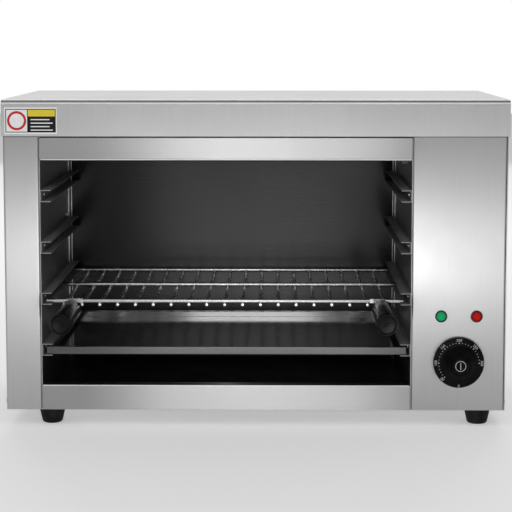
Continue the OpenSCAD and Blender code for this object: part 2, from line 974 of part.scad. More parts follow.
module red_lens() {
  color([0.75, 0.05, 0.05])
    lamp_lens(panel_x + lamp_span / 2);
}

bulb_r = 3;
capillary_r = 1;
bulb_len = 90;
bulb_bend = 24;
bulb_y = cav_back - 30;
bulb_z = ceil_z - 9;
bulb_x = cav_r - 22;
thermo_back = post_y + casing_t + thermo_d;

// Sensing bulb under the ceiling and the capillary that leads to the thermostat
module thermostat_bulb() {
  inner = cav_r - 4;
  outer = open_r + 9;
  in_z = knob_z + 8;
  route = concat(
    bow([bulb_x, bulb_y - bulb_bend, bulb_z], [bulb_x, bulb_y, bulb_z], [inner, bulb_y, bulb_z]),
    bow([open_r + 3, bulb_y, bulb_z], [outer, bulb_y, bulb_z], [outer, bulb_y, bulb_z - 12]),
    bow([outer, bulb_y, in_z + 80], [outer, bulb_y, in_z], [shield_x + 30, bulb_y - 30, in_z]),
    bow([panel_x, thermo_back + 60, in_z], [panel_x, thermo_back + 40, in_z],
        [panel_x, thermo_back, in_z]));
  color("peru") {
    rod_y([bulb_x, bulb_y - bulb_bend - bulb_len, bulb_z], bulb_r, bulb_len);
    tube(route, capillary_r);
  }
}

// Saddle that hangs the bulb from the ceiling
module bulb_clip() {
  width = 10;
  wrap = 1.5;
  ear = 10;
  y = bulb_y - bulb_bend - bulb_len / 2;
  right = bulb_x + bulb_r + wrap;
  color("gainsboro")
    difference() {
      union() {
        block([bulb_x - bulb_r - wrap, y, bulb_z - bulb_r - wrap], [right, y + width, ceil_z]);
        block([bulb_x - bulb_r - ear, y, ceil_z - wrap], [right, y + width, ceil_z]);
      }
      rod_y([bulb_x, y - over, bulb_z], bulb_r, width + 2 * over);
    }
}

// Disc thermostat on the cavity's right wall
module high_limit_switch() {
  at = [open_r, cav_back - 70, header_bot / 2 + 36];
  color("ivory") {
    rod_x(at, 11, 9);
    block(at + [0, -17, -4], at + [1, 17, 4]);
  }
}

block_x = shield_x + 40;
block_y = rear_y - 70;
block_size = [46, 20, 18];
pole_pitch = 11.3;
pole_x = 6;

module terminal_block() {
  hole_r = 3;
  hole_d = 8;
  color("ivory")
    difference() {
      block([block_x, block_y, base_top], [block_x, block_y, base_top] + block_size);
      for (i = [0:3])
        translate([block_x + pole_x + i * pole_pitch, block_y + block_size[1] / 2,
                   base_top + block_size[2] - hole_d])
          cylinder(r = hole_r, h = hole_d + over);
    }
}

lead_r = 1.4;

// Leads from the terminal block to the green lamp, the thermostat and the red lamp
module wiring() {
  level = base_top + 8;
  drop = 60;
  lamp_y = post_y + lamp_len + lamp_tab + lead_r;
  thermo_y = thermo_back + tab_len + lead_r;
  starts = [for (i = [0:3]) [block_x + pole_x + i * pole_pitch, block_y - lead_r, level]];
  ends = [
    [panel_x - lamp_span / 2, lamp_y, lamp_z],
    [panel_x - tab_x, thermo_y, knob_z],
    [panel_x + tab_x, thermo_y, knob_z],
    [panel_x + lamp_span / 2, lamp_y, lamp_z]
  ];
  color("firebrick")
    for (i = [0:3]) {
      bend = [ends[i][0], starts[i][1] - 20 - 6 * i, level + 9 + 6 * i];
      tube(concat(
        bow(starts[i], starts[i] + [0, -14, 0], bend),
        bow(bend + [0, -8, 3], ends[i] + [0, drop, 0], ends[i])), lead_r);
    }
}

// ---- inlet ----

gland_r = 10;
gland_slack = 0.1;
gland_bore = 4;
gland_right = 14;
gland_up = 36;
gland_x = panel_x + gland_right;
gland_z = base_top + gland_up;

module cable_gland() {
  thread = 10;
  hex_r = 14;
  hex_h = 5;
  inside = rear_y - casing_t - thread;
  color([0.1, 0.1, 0.1])
    difference() {
      union() {
        rod_y([gland_x, inside, gland_z], gland_r, thread + casing_t);
        translate([gland_x, rear_y, gland_z])
          rotate([-90, 0, 0])
            cylinder(r = hex_r, h = hex_h, $fn = 6);
        translate([gland_x, rear_y + hex_h, gland_z])
          rotate([-90, 0, 0])
            cylinder(r1 = 12.5, r2 = 8, h = back_y + gland_reach - rear_y - hex_h);
      }
      rod_y([gland_x, inside - over, gland_z], gland_bore,
            back_y + gland_reach - inside + 2 * over);
    }
}

module gland_nut() {
  nut_r = 14.5;
  nut_h = 6;
  color([0.12, 0.12, 0.12])
    translate([gland_x, rear_y - casing_t - nut_h, gland_z])
      rotate([-90, 0, 0])
        difference() {
          cylinder(r = nut_r, h = nut_h, $fn = 6);
          translate([0, 0, -over])
            cylinder(r = gland_r, h = nut_h + 2 * over);
        }
}

// ---- fasteners and label ----

screw_head_r = 3.8;
screw_head_h = 1.3;
back_head_h = 2;

// Heads of the screws that hold the side panels, the rear panel and the base
module casing_screws() {
  row_z = foot_h + 9;
  side_ys = [post_y + 8, front_y + body_d / 2, rear_y - 14];
  back_zs = [foot_h + 14, (foot_h + body_h) / 2, body_h - skirt_h - 14];
  color("gainsboro") {
    for (y = side_ys)
      for (x = [-side_x - screw_head_h, side_x])
        rod_x([x, y, row_z], screw_head_r, screw_head_h);
    for (s = [-1, 1])
      for (z = back_zs)
        rod_y([s * (side_x - 8), rear_y, z], screw_head_r, back_head_h);
    for (s = [-1, 1])
      rod_y([s * body_w / 4, rear_y, row_z], screw_head_r, back_head_h);
  }
}

liner_screw_y = cav_back - 34;
liner_screw_z = level_z(3) + guide_gap + 6.5;

// Screw through the cavity's left wall, with a small raised pip on its head
module liner_screw() {
  head_r = 3.4;
  head_h = 1.4;
  pip_r = 2;
  pip_h = 0.8;
  tail = 6;
  color("white") {
    rod_x([cav_l, liner_screw_y, liner_screw_z], head_r, head_h);
    rod_x([cav_l + head_h, liner_screw_y, liner_screw_z], pip_r, pip_h);
    rod_x([open_l - tail, liner_screw_y, liner_screw_z], rivet_r, tail + liner_t);
  }
}

sticker_w = 63;
sticker_h = 32;
sticker_t = 0.2;
sticker_low = 2.8;

module front_sticker() {
  x = -side_x + sticker_low;
  z = fascia_z + sticker_low;
  color("white")
    block([x, front_y - sticker_t, z], [x + sticker_w, front_y, z + sticker_h]);
}

// ---- assembly ----

top_cover();
left_side_panel();
right_side_panel();
control_panel();
header_panel();
bottom_rail();
rear_panel();
base_plate();
left_liner();
right_liner();
back_liner();
ceiling_reflector();
floor_liner();
heat_shield();
top_insulation();
rear_insulation();
side_insulation();
for (i = [1:4])
  foot(i);
foot_screws();
for (i = [1:guide_levels]) {
  left_guide(i);
  right_guide(i);
}
guide_rivets();
rack_bars();
rack_wires();
left_handle();
right_handle();
left_handle_bracket();
right_handle_bracket();
handle_bolts();
drip_tray();
heating_element();
element_glands();
element_hangers();
thermostat_body();
thermostat_shaft();
thermostat_knob();
thermostat_bulb();
bulb_clip();
green_lamp_body();
green_lens();
red_lamp_body();
red_lens();
high_limit_switch();
terminal_block();
wiring();
cable_gland();
gland_nut();
casing_screws();
liner_screw();
front_sticker();
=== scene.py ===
import math

import bmesh
import bpy
from mathutils import Matrix, Vector


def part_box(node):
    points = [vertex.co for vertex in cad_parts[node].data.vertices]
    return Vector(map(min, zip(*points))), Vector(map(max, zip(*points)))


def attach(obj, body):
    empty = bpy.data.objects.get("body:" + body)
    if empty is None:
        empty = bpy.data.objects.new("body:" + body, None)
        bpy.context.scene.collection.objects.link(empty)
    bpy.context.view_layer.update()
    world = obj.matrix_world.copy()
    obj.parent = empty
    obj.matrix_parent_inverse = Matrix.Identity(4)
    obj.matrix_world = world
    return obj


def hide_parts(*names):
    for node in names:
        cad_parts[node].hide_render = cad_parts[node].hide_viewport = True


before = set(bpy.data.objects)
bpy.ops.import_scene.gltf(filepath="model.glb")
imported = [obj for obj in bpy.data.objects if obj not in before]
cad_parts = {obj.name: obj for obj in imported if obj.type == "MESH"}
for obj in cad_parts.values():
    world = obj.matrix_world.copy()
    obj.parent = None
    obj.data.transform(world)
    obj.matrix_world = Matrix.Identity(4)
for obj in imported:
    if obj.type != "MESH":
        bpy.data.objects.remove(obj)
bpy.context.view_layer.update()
scene = bpy.context.scene
MM = 0.001
WELD = 1e-6              # points closer than this become one
ON_AXIS = 1e-7           # a turned point nearer to the axis than this lies on it


# ---- camera ----

def make_camera():
    """Long lens a little right of the middle and just above the top, looking slightly down."""
    pitch_down = math.radians(6.19)
    yaw_left = math.radians(0.63)
    data = bpy.data.cameras.new("camera")
    data.lens = 117.6
    data.sensor_width = 36.0
    data.shift_y = -0.08
    data.clip_start = 0.05
    data.clip_end = 60.0
    camera = bpy.data.objects.new("camera", data)
    camera.location = (0.0229, -2.131, 0.4787)
    camera.rotation_euler = (math.pi / 2 - pitch_down, 0.0, yaw_left)
    scene.collection.objects.link(camera)
    scene.camera = camera


make_camera()


# ---- material helpers ----

class Maker:
    """Builds one node material round a Principled shader."""

    def __init__(self, name):
        self.mat = bpy.data.materials.new(name)
        self.mat.use_nodes = True
        self.tree = self.mat.node_tree
        self.shader = self.tree.nodes["Principled BSDF"]
        self.coords = self.add("ShaderNodeTexCoord")

    def add(self, kind, **settings):
        node = self.tree.nodes.new(kind)
        for key, value in settings.items():
            setattr(node, key, value)
        return node

    def link(self, out, into):
        self.tree.links.new(out, into)

    def put(self, **values):
        for key, value in values.items():
            self.shader.inputs[key.replace("_", " ")].default_value = value

    def noise(self, scale, detail=4.0, rough=0.5, stretch=(1, 1, 1), seed=(0, 0, 0)):
        """Noise in object space; a small stretch value makes long streaks along that axis."""
        mapping = self.add("ShaderNodeMapping")
        mapping.inputs["Scale"].default_value = stretch
        mapping.inputs["Location"].default_value = seed
        self.link(self.coords.outputs["Object"], mapping.inputs["Vector"])
        tex = self.add("ShaderNodeTexNoise")
        tex.inputs["Scale"].default_value = scale
        tex.inputs["Detail"].default_value = detail
        tex.inputs["Roughness"].default_value = rough
        self.link(mapping.outputs["Vector"], tex.inputs["Vector"])
        return tex.outputs["Fac"]

    def remap(self, fac, low, high, from_low=0.3, from_high=0.7):
        node = self.add("ShaderNodeMapRange")
        node.inputs["From Min"].default_value = from_low
        node.inputs["From Max"].default_value = from_high
        node.inputs["To Min"].default_value = low
        node.inputs["To Max"].default_value = high
        self.link(fac, node.inputs["Value"])
        return node.outputs["Result"]

    def maths(self, operation, a, b):
        node = self.add("ShaderNodeMath", operation=operation)
        for i, value in enumerate((a, b)):
            if isinstance(value, (int, float)):
                node.inputs[i].default_value = value
            else:
                self.link(value, node.inputs[i])
        return node.outputs[0]

    def mix(self, fac, a, b):
        node = self.add("ShaderNodeMix", data_type="RGBA")
        self.link(fac, node.inputs["Factor"])
        node.inputs["A"].default_value = (*a, 1)
        node.inputs["B"].default_value = (*b, 1)
        return node.outputs["Result"]

    def bump(self, height, strength, distance, normal=None):
        node = self.add("ShaderNodeBump")
        node.inputs["Strength"].default_value = strength
        node.inputs["Distance"].default_value = distance
        self.link(height, node.inputs["Height"])
        if normal is not None:
            self.link(normal, node.inputs["Normal"])
        return node.outputs["Normal"]

    def bevel(self, radius, samples=6):
        node = self.add("ShaderNodeBevel", samples=samples)
        node.inputs["Radius"].default_value = radius
        return node.outputs["Normal"]

    def finish(self, color=None, rough=None, normal=None):
        if color is not None:
            self.link(color, self.shader.inputs["Base Color"])
        if rough is not None:
            self.link(rough, self.shader.inputs["Roughness"])
        if normal is not None:
            self.link(normal, self.shader.inputs["Normal"])
        return self.mat


ALONG_X, ALONG_Y, ALONG_Z = (0.02, 1, 1), (1, 0.02, 1), (1, 1, 0.02)
COVER_GRAIN = (1, 0.02, 0.02)
SMEAR = {"up": ("Z", 0.25), "across": ("Z", 0.0), "over": ("X", 0.25)}    # tangent axis, turn


def grey(value):
    return (value, value, value)


def scaled(tint, factor, lift=0.0):
    return tuple(c * factor + lift for c in tint)


def brushed(name, tint, rough, grain, smear="up", spread=0.6, edge=0.0006, marks=0.03):
    """Satin sheet: very fine grain along one axis and soft smudges.

    The grain widens every reflection at right angles to itself, and smear names that direction:
    up the face, across it, or across the face and over the bend of the top cover.
    """
    m = Maker(name)
    axis, turn = SMEAR[smear]
    m.put(Metallic=1.0, Anisotropic=spread, Anisotropic_Rotation=turn)
    tangent = m.add("ShaderNodeTangent", direction_type="RADIAL", axis=axis)
    m.link(tangent.outputs["Tangent"], m.shader.inputs["Tangent"])
    fine = m.noise(scale=1500, detail=3, rough=0.6, stretch=grain)
    coarse = m.noise(scale=420, detail=4, rough=0.55, stretch=grain, seed=(3.1, 0.4, 1.7))
    smudge = m.noise(scale=9, detail=3, seed=(0.3, 2.2, 4.1))
    fine_share, coarse_share = 0.6, 0.4
    streaks = m.maths("ADD", m.maths("MULTIPLY", fine, fine_share),
                      m.maths("MULTIPLY", coarse, coarse_share))
    dark = scaled(tint, 1 - 2 * marks)
    color = m.mix(m.remap(streaks, 0, 1, from_low=0.35, from_high=0.65), dark, tint)
    grainy = m.remap(streaks, rough - marks, rough + marks, from_low=0.35, from_high=0.65)
    roughness = m.maths("ADD", grainy, m.remap(smudge, -marks, marks))
    normal = m.bump(streaks, strength=0.05, distance=0.0002, normal=m.bevel(edge))
    return m.finish(color, roughness, normal)


def plastic(name, tint, rough, grain=2600, depth=0.00006, coat=0.0, shine=0.12):
    """Moulded plastic with a fine spark-eroded texture and slightly uneven gloss."""
    m = Maker(name)
    m.put(Specular_IOR_Level=shine, Coat_Weight=coat, Coat_Roughness=0.12)
    pits = m.noise(scale=grain, detail=3, rough=0.6)
    patch = m.noise(scale=45, detail=3, seed=(1.3, 0.2, 2.4))
    color = m.mix(m.remap(patch, 0, 1), tint, scaled(tint, 1.8, 0.001))
    normal = m.bump(pits, strength=0.35, distance=depth, normal=m.bevel(0.0003))
    return m.finish(color, m.remap(patch, rough - 0.05, rough + 0.06), normal)


def chrome(name, tint, rough):
    """Bright plated metal with faint draw marks and a little haze."""
    m = Maker(name)
    m.put(Metallic=1.0)
    haze = m.noise(scale=120, detail=4, rough=0.6)
    draw = m.noise(scale=900, detail=2, stretch=(0.15, 0.15, 1))
    color = m.mix(m.remap(haze, 0, 1), scaled(tint, 0.88), tint)
    normal = m.bump(draw, strength=0.06, distance=0.00005)
    return m.finish(color, m.remap(haze, rough * 0.6, rough * 1.7), normal)


def rubber(name, tint):
    """Matte rubber or silicone, finely pitted, with a trace of dust."""
    m = Maker(name)
    m.put(Specular_IOR_Level=0.15)
    pits = m.noise(scale=1500, rough=0.65)
    dust = m.noise(scale=60, rough=0.6, seed=(0.7, 1.9, 0.2))
    color = m.mix(m.remap(dust, 0, 1, from_low=0.45, from_high=0.8), tint, scaled(tint, 2, 0.01))
    return m.finish(color, m.remap(pits, 0.5, 0.75), m.bump(pits, strength=0.4, distance=0.0001))


def fibre(name, tint):
    """Insulation blanket with a matted surface."""
    m = Maker(name)
    m.put(Sheen_Weight=0.3)
    matting = m.noise(scale=500, detail=6, rough=0.7, stretch=(0.3, 1, 1))
    color = m.mix(m.remap(matting, 0, 1), scaled(tint, 0.75), tint)
    normal = m.bump(matting, strength=0.8, distance=0.0015)
    return m.finish(color, m.remap(matting, 0.85, 0.98), normal)


def enamel(name, tint, rough):
    """Dark enamel with slight orange peel and a film of grease."""
    m = Maker(name)
    m.put(Coat_Weight=0.15, Coat_Roughness=0.3)
    peel = m.noise(scale=260, detail=3)
    grease = m.noise(scale=22, rough=0.6, seed=(2.0, 0.1, 0.9))
    color = m.mix(m.remap(grease, 0, 1), tint, scaled(tint, 1.7, 0.002))
    normal = m.bump(peel, strength=0.15, distance=0.0002)
    return m.finish(color, m.remap(grease, rough - 0.08, rough + 0.12), normal)


def lens(name, tint, deep):
    """Coloured lamp lens: fine specks of a deeper tone under a glossy skin."""
    m = Maker(name)
    m.put(Coat_Weight=0.05, Coat_Roughness=0.05, Specular_IOR_Level=0.08)
    speck = m.noise(scale=700, detail=3)
    color = m.mix(m.remap(speck, 0, 1), deep, tint)
    normal = m.bump(speck, strength=0.08, distance=0.0001)
    return m.finish(color, m.remap(speck, 0.16, 0.26), normal)


def paint(name, tint, rough=0.5):
    """Printed or matte surface with a very fine speckle."""
    m = Maker(name)
    m.put(Specular_IOR_Level=0.15)
    speck = m.noise(scale=900, detail=3)
    color = m.mix(m.remap(speck, 0, 1), scaled(tint, 0.88), tint)
    normal = m.bump(speck, strength=0.05, distance=0.00005)
    return m.finish(color, m.remap(speck, rough - 0.06, rough + 0.08), normal)


# ---- materials ----

FINISHES = {
    "cover": brushed("cover_steel", grey(0.54), 0.36, COVER_GRAIN, "over"),
    "casing": brushed("casing_steel", grey(0.43), 0.34, ALONG_Z, "across", spread=0.8),
    "trim": brushed("trim_steel", grey(0.39), 0.34, ALONG_X, spread=1.0, marks=0.015),
    "rear": brushed("rear_steel", (0.5, 0.5, 0.51), 0.45, ALONG_X, spread=0.3),
    "liner": brushed("liner_steel", grey(0.5), 0.38, ALONG_Y),
    # back wall tint set far darker than the other liner steel: painted shade of the cavity
    "back": brushed("back_steel_painted_shade", grey(0.034), 0.28, ALONG_X, spread=1.0, marks=0.008),
    "guide": brushed("guide_steel", grey(0.36), 0.7, ALONG_Y, spread=0.2, edge=0.0003),
    # bead tint about twice that of the sheets the folds and beads belong to: painted highlight along
    # these edges
    "bead": brushed("bead_steel_painted_highlight", grey(0.8), 0.45, ALONG_Z, "across", spread=0.2, edge=0.0002),
    "tray": brushed("tray_steel", grey(0.34), 0.1, ALONG_X, spread=0.3, marks=0.012),
    "lip": brushed("lip_steel", grey(0.1), 0.2, ALONG_X, marks=0.02),
    "shield": brushed("shield_steel", (0.5, 0.5, 0.51), 0.4, ALONG_Y, spread=0.2),
    "fittings": brushed("fittings_steel", grey(0.85), 0.5, ALONG_X, spread=0.2),
    "sheath": brushed("element_sheath", (0.12, 0.115, 0.11), 0.5, ALONG_X, spread=0.0),
    "copper": brushed("capillary_copper", (0.62, 0.36, 0.22), 0.35, ALONG_Y, spread=0.0),
    # near-black tint: the floor sheet's dark enamel, plus painted shade from the tray above it
    "floor": enamel("dark_enamel", grey(0.003), 0.5),
    "chrome": chrome("rack_chrome", grey(0.5), 0.2),
    "screw": chrome("screw_steel", grey(0.7), 0.25),
    "zinc": chrome("zinc_plate", grey(0.9), 0.45),
    "handle": plastic("handle_plastic", grey(0.002), 0.22, shine=0.1),
    "knob": plastic("knob_plastic", grey(0.002), 0.28, grain=3200, depth=0.00004, shine=0.06),
    "gland": plastic("gland_plastic", grey(0.01), 0.5),
    "bezel": plastic("bezel_plastic", (0.008, 0.01, 0.008), 0.25, grain=3000, depth=0.00003,
                     coat=0.4),
    "ceramic": paint("control_ceramic", (0.72, 0.68, 0.6), 0.6),
    "rubber": rubber("foot_rubber", grey(0.004)),
    "fibre": fibre("insulation_fibre", (0.8, 0.76, 0.6)),
    "leads": rubber("lead_sleeve", (0.3, 0.03, 0.02)),
    "green": lens("green_lens", (0.01, 0.5, 0.18), deep=(0.005, 0.32, 0.11)),
    "red": lens("red_lens", (0.62, 0.008, 0.006), deep=(0.36, 0.003, 0.003)),
    "marks": paint("dial_paint", (0.5, 0.52, 0.55)),
    "film": paint("sticker_film", grey(0.85), 0.35),
    "film_red": paint("sticker_red", (0.55, 0.03, 0.03), 0.35),
    "film_yellow": paint("sticker_yellow", (0.75, 0.6, 0.05), 0.35),
    "film_black": paint("sticker_black", grey(0.01), 0.35),
}

NODE_FINISH = {
    "cover": ["top_cover"],
    "casing": ["left_side_panel", "right_side_panel", "control_panel"],
    "trim": ["header_panel", "bottom_rail"],
    "rear": ["rear_panel", "base_plate"],
    "liner": ["left_liner", "right_liner", "ceiling_reflector"],
    "back": ["back_liner"],
    "guide": [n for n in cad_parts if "_guide_" in n],
    "tray": ["drip_tray"],
    "shield": ["heat_shield"],
    "fittings": ["element_glands", "element_hangers", "bulb_clip", "thermostat_shaft"],
    "sheath": ["heating_element"],
    "copper": ["thermostat_bulb"],
    "floor": ["floor_liner"],
    "chrome": ["rack_bars", "rack_wires", "left_handle_bracket", "right_handle_bracket",
               "handle_bolts"],
    "screw": ["foot_screws", "guide_rivets", "casing_screws"],
    "zinc": ["liner_screw"],
    "handle": ["left_handle", "right_handle"],
    "knob": ["thermostat_knob"],
    "gland": ["cable_gland", "gland_nut"],
    "bezel": ["green_lamp_body", "red_lamp_body"],
    "ceramic": ["thermostat_body", "high_limit_switch", "terminal_block"],
    "rubber": [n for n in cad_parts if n.startswith("foot_") and n != "foot_screws"],
    "fibre": ["top_insulation", "rear_insulation", "side_insulation"],
    "leads": ["wiring"],
    "green": ["green_lens"],
    "red": ["red_lens"],
    "film": ["front_sticker"],
}

for finish_name, names in NODE_FINISH.items():
    for node_name in names:
        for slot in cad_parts[node_name].material_slots:
            slot.material = FINISHES[finish_name]


# ---- mesh helpers ----

def add_object(name, mesh, material, body, smooth=True):
    """Puts a mesh in the scene as a piece with one material that rides on a body."""
    obj = bpy.data.objects.new(name, mesh)
    scene.collection.objects.link(obj)
    mesh.materials.append(FINISHES[material])
    for polygon in mesh.polygons:
        polygon.use_smooth = smooth
    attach(obj, body)
    return obj


def frame_along(start, end):
    """Matrix that puts local Z on the line from start to end, with its origin at start."""
    direction = (end - start).normalized()
    return Matrix.Translation(start) @ direction.to_track_quat("Z", "Y").to_matrix().to_4x4()


def ring_of(bm, radius, height, place, segments):
    """Ring of vertices round local Z, or one vertex where the point lies on the axis."""
    if radius < ON_AXIS:
        return [bm.verts.new(place @ Vector((0, 0, height)))]
    angles = (2 * math.pi * k / segments for k in range(segments))
    return [bm.verts.new(place @ Vector((radius * math.cos(a), radius * math.sin(a), height)))
            for a in angles]


def lathe(bm, profile, place, segments=64):
    """Turns (radius, height) points round local Z; a point on the axis closes the form."""
    rings = [ring_of(bm, radius, height, place, segments) for radius, height in profile]
    for a, b in zip(rings, rings[1:]):
        for k in range(segments):
            n = (k + 1) % segments
            corners = [a[k % len(a)], a[n % len(a)], b[n % len(b)], b[k % len(b)]]
            unique = list(dict.fromkeys(corners))
            if len(unique) > 2:
                bm.faces.new(unique)


def rounded(points, radius, steps=4):
    """Profile with its inner corners rounded, so that every turned edge catches the light."""
    most = 0.45          # share of the side before or after that a rounding may take
    out = [points[0]]
    for before, corner, after in zip(points, points[1:], points[2:]):
        b, c, a = Vector(before), Vector(corner), Vector(after)
        reach = min(radius, (b - c).length * most, (a - c).length * most)
        p, q = c + (b - c).normalized() * reach, c + (a - c).normalized() * reach
        for i in range(steps + 1):
            t = i / steps
            out.append(tuple((1 - t) ** 2 * p + 2 * t * (1 - t) * c + t * t * q))
    out.append(points[-1])
    return out


def rod(bm, start, end, radius, nose, segments, steps=4):
    """Round rod from start to end, with its two end edges rounded by nose."""
    length = (end - start).length
    profile = [(0, 0), (radius, 0), (radius, length), (0, length)]
    lathe(bm, rounded(profile, nose, steps), frame_along(start, end), segments)


def finish_mesh(bm, name):
    """Turns a bmesh into a mesh with its faces outward."""
    bmesh.ops.recalc_face_normals(bm, faces=bm.faces)
    mesh = bpy.data.meshes.new(name)
    bm.to_mesh(mesh)
    bm.free()
    return mesh


# ---- rack ----

def make_rack():
    """Three cross bars with rounded ends, depth wires under them, and a weld at each crossing."""
    low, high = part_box("rack_bars")
    wire_low, wire_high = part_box("rack_wires")
    bar_r, bar_nose, bar_sides = 2.5 * MM, 2.2 * MM, 24
    wire_r, wire_nose, wire_sides = 2.25 * MM, 1.1 * MM, 20
    wires, pitch, nose_steps = 19, 21.8 * MM, 5
    bar_z, wire_z = high.z - bar_r, wire_low.z + wire_r
    first, last = low.y + bar_r, high.y - bar_r
    middle = (low.x + high.x) / 2
    bar_ys = [first, (first + last) / 2, last]
    wire_xs = [middle + (i - (wires - 1) / 2) * pitch for i in range(wires)]
    bm = bmesh.new()
    for y in bar_ys:
        start, end = Vector((low.x, y, bar_z)), Vector((high.x, y, bar_z))
        rod(bm, start, end, bar_r, bar_nose, bar_sides, nose_steps)
    for x in wire_xs:
        start, end = Vector((x, wire_low.y, wire_z)), Vector((x, wire_high.y, wire_z))
        rod(bm, start, end, wire_r, wire_nose, wire_sides, nose_steps)
    weld_z = (bar_z - bar_r + wire_z + wire_r) / 2
    weld_shape = Matrix.Diagonal((2.6, 2.9, 1.1, 1))      # half sizes in millimetres
    for y in bar_ys:
        for x in wire_xs:
            place = Matrix.Translation((x, y, weld_z)) @ weld_shape
            bmesh.ops.create_icosphere(bm, subdivisions=2, radius=MM, matrix=place)
    rack = add_object("rack_grid", finish_mesh(bm, "rack_grid"), "chrome", "rack")
    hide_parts("rack_bars", "rack_wires")


def grip_profile(r, length):
    """Half section of a grip: a body that widens toward the front, a rim, a dish and a dimple."""
    dish, dimple = 1.5 * MM, 2.1 * MM
    body = [(0, 0.1 * MM), (r - 1.8 * MM, 0), (r - 0.8 * MM, 1.2 * MM), (r, length - 2.4 * MM)]
    rim = [(r - 0.7 * MM, length), (r - 2.2 * MM, length), (r - 3.0 * MM, length - dish)]
    middle = [(2.2 * MM, length - dish), (1.6 * MM, length - dimple), (0, length - dimple)]
    return rounded(body + rim + middle, 0.6 * MM)


def make_grips():
    """Two black grips that point forward, on the front bar."""
    for side in ("left", "right"):
        low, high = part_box(side + "_handle")
        axis = (low + high) / 2
        length, r = high.y - low.y, (high.z - low.z) / 2
        back = Vector((axis.x, high.y, axis.z))
        bm = bmesh.new()
        lathe(bm, grip_profile(r, length), frame_along(back, back - Vector((0, length, 0))), 72)
        name = side + "_grip"
        grip = add_object(name, finish_mesh(bm, name), "handle", "rack")
        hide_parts(side + "_handle")


# ---- knob ----

def knob_profile(r, reach, skirt, cap):
    """Half section of the knob: skirt, flared hub, and a cap with a shallow dish."""
    hub, steps = r * 0.65, 13
    curved, straight = 0.55, 0.45
    flare = []
    for i in range(1, steps):
        s = i / steps
        rise = (reach - skirt - 1.6 * MM) * (curved * (1 - math.sqrt(1 - s * s)) + straight * s)
        flare.append((hub + (cap - hub) * s, skirt + MM + rise))
    edge = [(0, 0.2 * MM), (r - 1.2 * MM, 0.2 * MM), (r, 1.0 * MM), (r, skirt - 1.4 * MM),
            (r - 1.3 * MM, skirt), (hub + 1.2 * MM, skirt), (hub, skirt + MM)]
    top = [(cap, reach - 1.2 * MM), (cap - 1.0 * MM, reach - 0.1 * MM),
           (cap * 0.55, reach - 0.1 * MM), (cap * 0.5, reach - 0.7 * MM), (0, reach - 0.7 * MM)]
    return rounded(edge, 0.7 * MM) + flare + rounded(top, 0.5 * MM)


def make_knob_mark(place, face, cap):
    """Plain ring with an upright bar on the knob's cap."""
    outer, width, bar_width = cap * 0.66, 0.8 * MM, 0.9 * MM
    foot, proud = face - 0.5 * MM, face + 0.05 * MM
    profile = [(outer - width, foot), (outer - width, proud), (outer, proud), (outer, foot)]
    bm = bmesh.new()
    lathe(bm, rounded(profile, 0.2 * MM), place, 64)
    half_bar = outer - 2.2 * MM
    shape = Matrix.Diagonal((bar_width, 2 * half_bar, 0.5 * MM, 1))
    bmesh.ops.create_cube(bm, size=1.0,
                          matrix=place @ Matrix.Translation((0, 0, face - 0.2 * MM)) @ shape)
    add_object("knob_ring", finish_mesh(bm, "knob_ring"), "marks", "knob")


def make_knob():
    """Skirted knob with a flared hub, a marked cap and a printed dial on its skirt."""
    low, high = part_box("thermostat_knob")
    axis = (low + high) / 2
    r, reach = (high.z - low.z) / 2, high.y - low.y
    skirt, cap = 7 * MM, r * 0.32
    place = frame_along(Vector((axis.x, high.y, axis.z)), Vector((axis.x, low.y, axis.z)))
    bm = bmesh.new()
    lathe(bm, knob_profile(r, reach, skirt, cap), place, 128)
    knob = add_object("dial_knob", finish_mesh(bm, "dial_knob"), "knob", "knob")
    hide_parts("thermostat_knob")
    make_knob_mark(place, reach - 0.1 * MM, cap)
    make_dial(axis, r, low.y + (reach - skirt))


def flat_text(body, size):
    """Mesh of a short number, drawn in its local XY plane and centred on its origin."""
    curve = bpy.data.curves.new("digits", "FONT")
    curve.body = body
    curve.size = size
    curve.extrude = 0.05 * MM
    curve.align_x = "CENTER"
    curve.align_y = "CENTER"
    holder = bpy.data.objects.new("digits", curve)
    scene.collection.objects.link(holder)
    bpy.context.view_layer.update()
    mesh = bpy.data.meshes.new_from_object(
        holder.evaluated_get(bpy.context.evaluated_depsgraph_get()))
    bpy.data.objects.remove(holder)
    return mesh


def make_dial(axis, r, face_y):
    """Numbers from 50 to 300 run clockwise from the lower left, with dots between them."""
    bm = bmesh.new()
    upright = Matrix.Rotation(math.pi / 2, 4, "X")
    front = Vector((axis.x, face_y - 0.06 * MM, axis.z))

    def place_at(radius, clock):
        turn = Matrix.Rotation(math.radians(clock), 4, "Y")
        return Matrix.Translation(front) @ turn @ Matrix.Translation((0, 0, radius)) @ upright

    first, step, straight_down = -135, 45, 180
    numbers = [(str(50 * (i + 1)), first + i * step) for i in range(6)]
    for text, clock in numbers + [("0", straight_down)]:
        mesh = flat_text(text, 4.6 * MM)
        mesh.transform(place_at(r - 2.9 * MM, clock))
        bm.from_mesh(mesh)
    dots_between = 5
    for i in range(5 * dots_between + 1):
        size = 0.75 * MM if i % dots_between == 0 else 0.5 * MM
        bmesh.ops.create_circle(bm, cap_ends=True, segments=12, radius=size,
                                matrix=place_at(r - 6.2 * MM, first + i * step / dots_between))
    add_object("dial_marks", finish_mesh(bm, "dial_marks"), "marks", "knob", False)


# ---- lamps ----

def dome_profile(r, depth):
    """Half section of a lens: a straight collar, then a dome with fine moulded rings."""
    crown, ripple = r * 0.93, 0.10 * MM
    rings, points_per_ring = 9, 4
    points = rings * points_per_ring
    shoulder, rise = depth - 2.7 * MM, 2.6 * MM
    dome = []
    for i in range(points + 1):
        s = i / points
        wave = ripple * math.cos(2 * math.pi * s * rings)
        height = shoulder + rise * math.sin(s * math.pi / 2) + wave * math.sin(s * math.pi)
        dome.append((crown * math.cos(s * math.pi / 2), height))
    dome[-1] = (0, dome[-1][1])
    return [(0, 0), (r, 0), (r, depth - 3.4 * MM)] + dome


